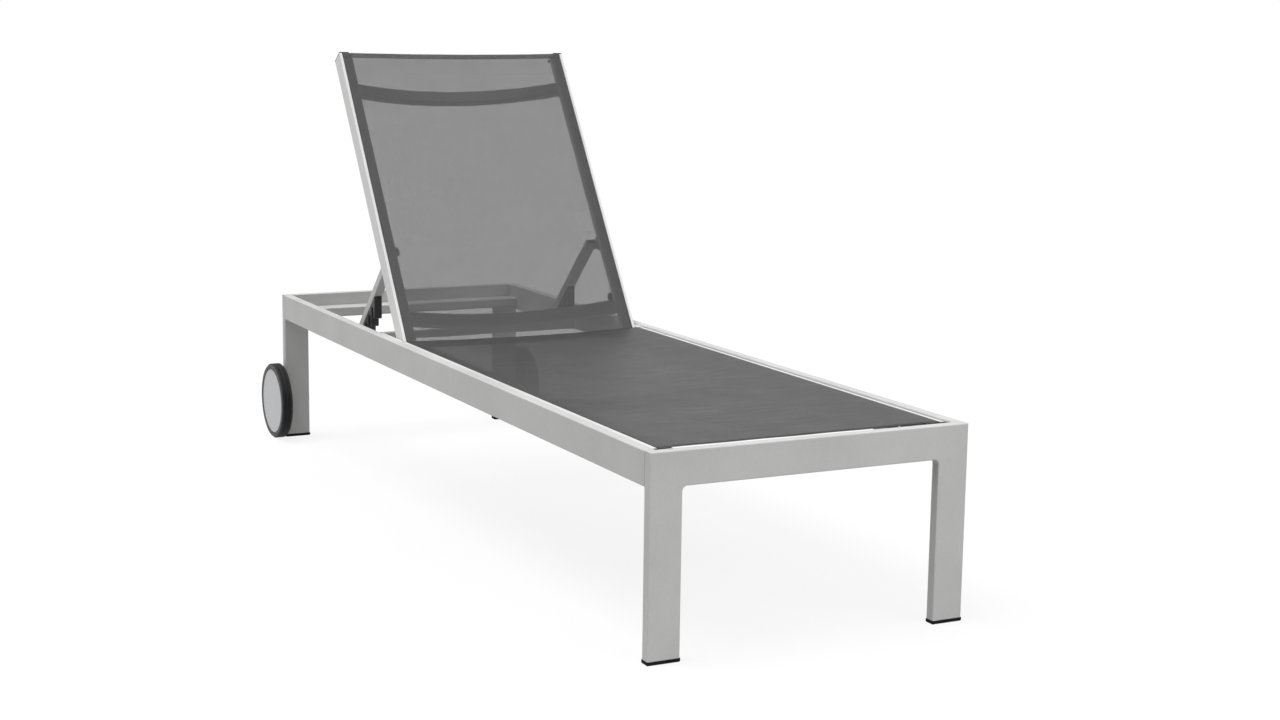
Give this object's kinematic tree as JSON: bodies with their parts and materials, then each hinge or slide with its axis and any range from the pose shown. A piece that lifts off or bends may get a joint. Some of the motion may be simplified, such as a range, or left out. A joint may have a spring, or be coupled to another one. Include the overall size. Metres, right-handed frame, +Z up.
{
  "type": "adjustable sun lounger",
  "caption": "Low sun lounger: rectangular tube frame, see-through mesh sling seat, hinged sling backrest held by props with slotted racks, and wheels at the head end.",
  "frame": {"origin": "on the floor under the middle of the bounding box", "axes": "+Z up, +Y from the foot end to the head end, +X across to the right as seen from the foot end"},
  "size_m": [0.686, 2.083, 0.954],
  "materials": {
    "silver_aluminium": "satin silver powder coat",
    "sling_mesh": "sheer woven coated yarn, grey",
    "black_plastic": "fine grained black",
    "white_nylon": "plain extruded",
    "tyre_rubber": "matt dark grey, ribbed tread",
    "dark_plastic": "moulded dark grey",
    "pale_plastic": "satin pale grey disc",
    "stainless_steel": "plain stainless steel"
  },
  "bodies": {
    "frame": {"foot_end_frame": "silver_aluminium", "head_rail": "silver_aluminium", "head_leg_left": "silver_aluminium", "head_leg_right": "silver_aluminium", "side_rail_left": "silver_aluminium", "side_rail_right": "silver_aluminium", "seat_rail_left": "silver_aluminium", "seat_rail_right": "silver_aluminium", "seat_rail_front_cap_left": "black_plastic", "seat_rail_front_cap_right": "black_plastic", "seat_rail_rear_cap_left": "black_plastic", "seat_rail_rear_cap_right": "black_plastic", "seat_spline_left": "white_nylon", "seat_spline_right": "white_nylon", "seat_sling": "sling_mesh", "seat_stretcher": "silver_aluminium", "catch_bar": "silver_aluminium", "head_cross_tube": "silver_aluminium", "hinge_plate_left": "silver_aluminium", "hinge_plate_right": "silver_aluminium", "hinge_bolts": "stainless_steel", "frame_rivets": "stainless_steel", "foot_cap_front_left": "black_plastic", "foot_cap_front_right": "black_plastic", "foot_cap_rear_left": "black_plastic", "foot_cap_rear_right": "black_plastic", "axle_bolts": "stainless_steel", "axle_nuts": "stainless_steel", "axle_spacers": "stainless_steel"},
    "back": {"back_rail_left": "silver_aluminium", "back_rail_right": "silver_aluminium", "back_crossbar_upper": "silver_aluminium", "back_crossbar_lower": "silver_aluminium", "back_top_cap_left": "black_plastic", "back_top_cap_right": "black_plastic", "back_lower_cap_left": "black_plastic", "back_lower_cap_right": "black_plastic", "back_spline_left": "white_nylon", "back_spline_right": "white_nylon", "back_sling": "sling_mesh", "prop_bracket_left": "silver_aluminium", "prop_bracket_right": "silver_aluminium", "prop_pins": "stainless_steel", "back_studs": "black_plastic"},
    "prop_left": {"prop_arm_left": "silver_aluminium", "prop_rack_left": "black_plastic", "prop_plug_left": "black_plastic", "rack_screw_left": "stainless_steel"},
    "prop_right": {"prop_arm_right": "silver_aluminium", "prop_rack_right": "black_plastic", "prop_plug_right": "black_plastic", "rack_screw_right": "stainless_steel"},
    "wheel_left": {"tyre_left": "tyre_rubber", "wheel_hub_left": "dark_plastic", "hub_cover_left": "pale_plastic", "wheel_bush_left": "white_nylon"},
    "wheel_right": {"tyre_right": "tyre_rubber", "wheel_hub_right": "dark_plastic", "hub_cover_right": "pale_plastic", "wheel_bush_right": "white_nylon"}
  },
  "joints": [
    {"name": "back_hinge", "type": "hinge", "parent": "frame", "child": "back", "pos_m": [0, 0.1975, 0.335], "axis": [1, 0, 0], "range_deg": [-54.9, 0]},
    {"name": "prop_left_pivot", "type": "hinge", "parent": "back", "child": "prop_left", "pos_m": [-0.24, 0.35006, 0.52121], "axis": [1, 0, 0], "range_deg": [0, 103.1]},
    {"name": "prop_right_pivot", "type": "hinge", "parent": "back", "child": "prop_right", "pos_m": [0.24, 0.35006, 0.52121], "axis": [1, 0, 0], "range_deg": [0, 103.1]},
    {"name": "wheel_left_spin", "type": "hinge", "parent": "frame", "child": "wheel_left", "pos_m": [-0.3295, 0.9495, 0.092], "axis": [1, 0, 0], "continuous": true},
    {"name": "wheel_right_spin", "type": "hinge", "parent": "frame", "child": "wheel_right", "pos_m": [0.3295, 0.9495, 0.092], "axis": [1, 0, 0], "continuous": true}
  ],
  "couplings": [
    {"joint": "prop_left_pivot", "follows": "back_hinge", "ratio": -1.8761},
    {"joint": "prop_right_pivot", "follows": "back_hinge", "ratio": -1.8761}
  ]
}
